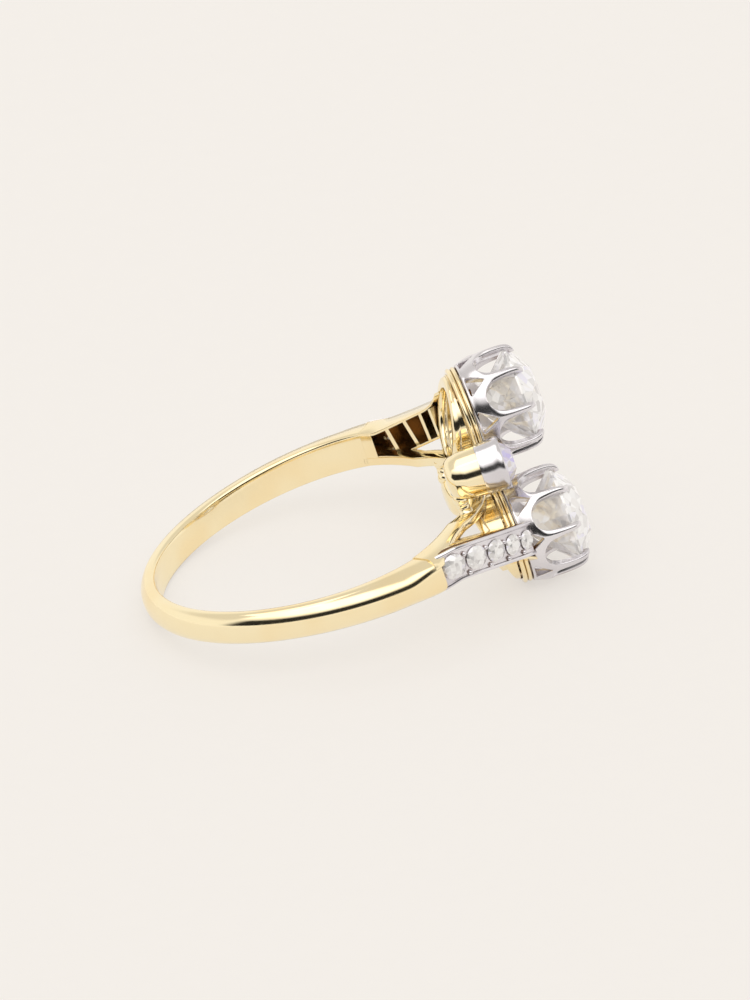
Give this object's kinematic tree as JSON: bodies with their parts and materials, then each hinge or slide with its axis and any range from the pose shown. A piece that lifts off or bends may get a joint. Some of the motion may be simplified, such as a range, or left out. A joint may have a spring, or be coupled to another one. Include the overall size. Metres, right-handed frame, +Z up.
{
  "type": "toi et moi ring",
  "caption": "Finger ring lying on its side, its forked shank set with small stones and its head with two round claw set stones and two round collet set stones.",
  "frame": {"origin": "on the surface the ring lies on, below the middle of its outer box", "axes": "+Z up from the surface, +X from the back of the shank towards the head, +Y to the shoulder that lies lower"},
  "size_m": [0.0232, 0.0182, 0.0109],
  "materials": {
    "gold": "polished yellow gold",
    "white_metal": "polished platinum",
    "plate": "polished platinum with grain beads",
    "stone": "faceted diamond",
    "small_stone": "faceted diamond"
  },
  "bodies": {
    "root": {"gold_mount": "gold", "claw_setting_upper": "white_metal", "claw_setting_lower": "white_metal", "collet_near": "white_metal", "collet_far": "white_metal", "shoulder_plate_far": "plate", "shoulder_plate_near": "plate", "main_stone_upper": "stone", "main_stone_lower": "stone", "side_stone_near": "stone", "side_stone_far": "stone", "shoulder_stone_far_1": "small_stone", "shoulder_stone_far_2": "small_stone", "shoulder_stone_far_3": "small_stone", "shoulder_stone_far_4": "small_stone", "shoulder_stone_far_5": "small_stone", "shoulder_stone_near_1": "small_stone", "shoulder_stone_near_2": "small_stone", "shoulder_stone_near_3": "small_stone", "shoulder_stone_near_4": "small_stone", "shoulder_stone_near_5": "small_stone"}
  },
  "joints": []
}
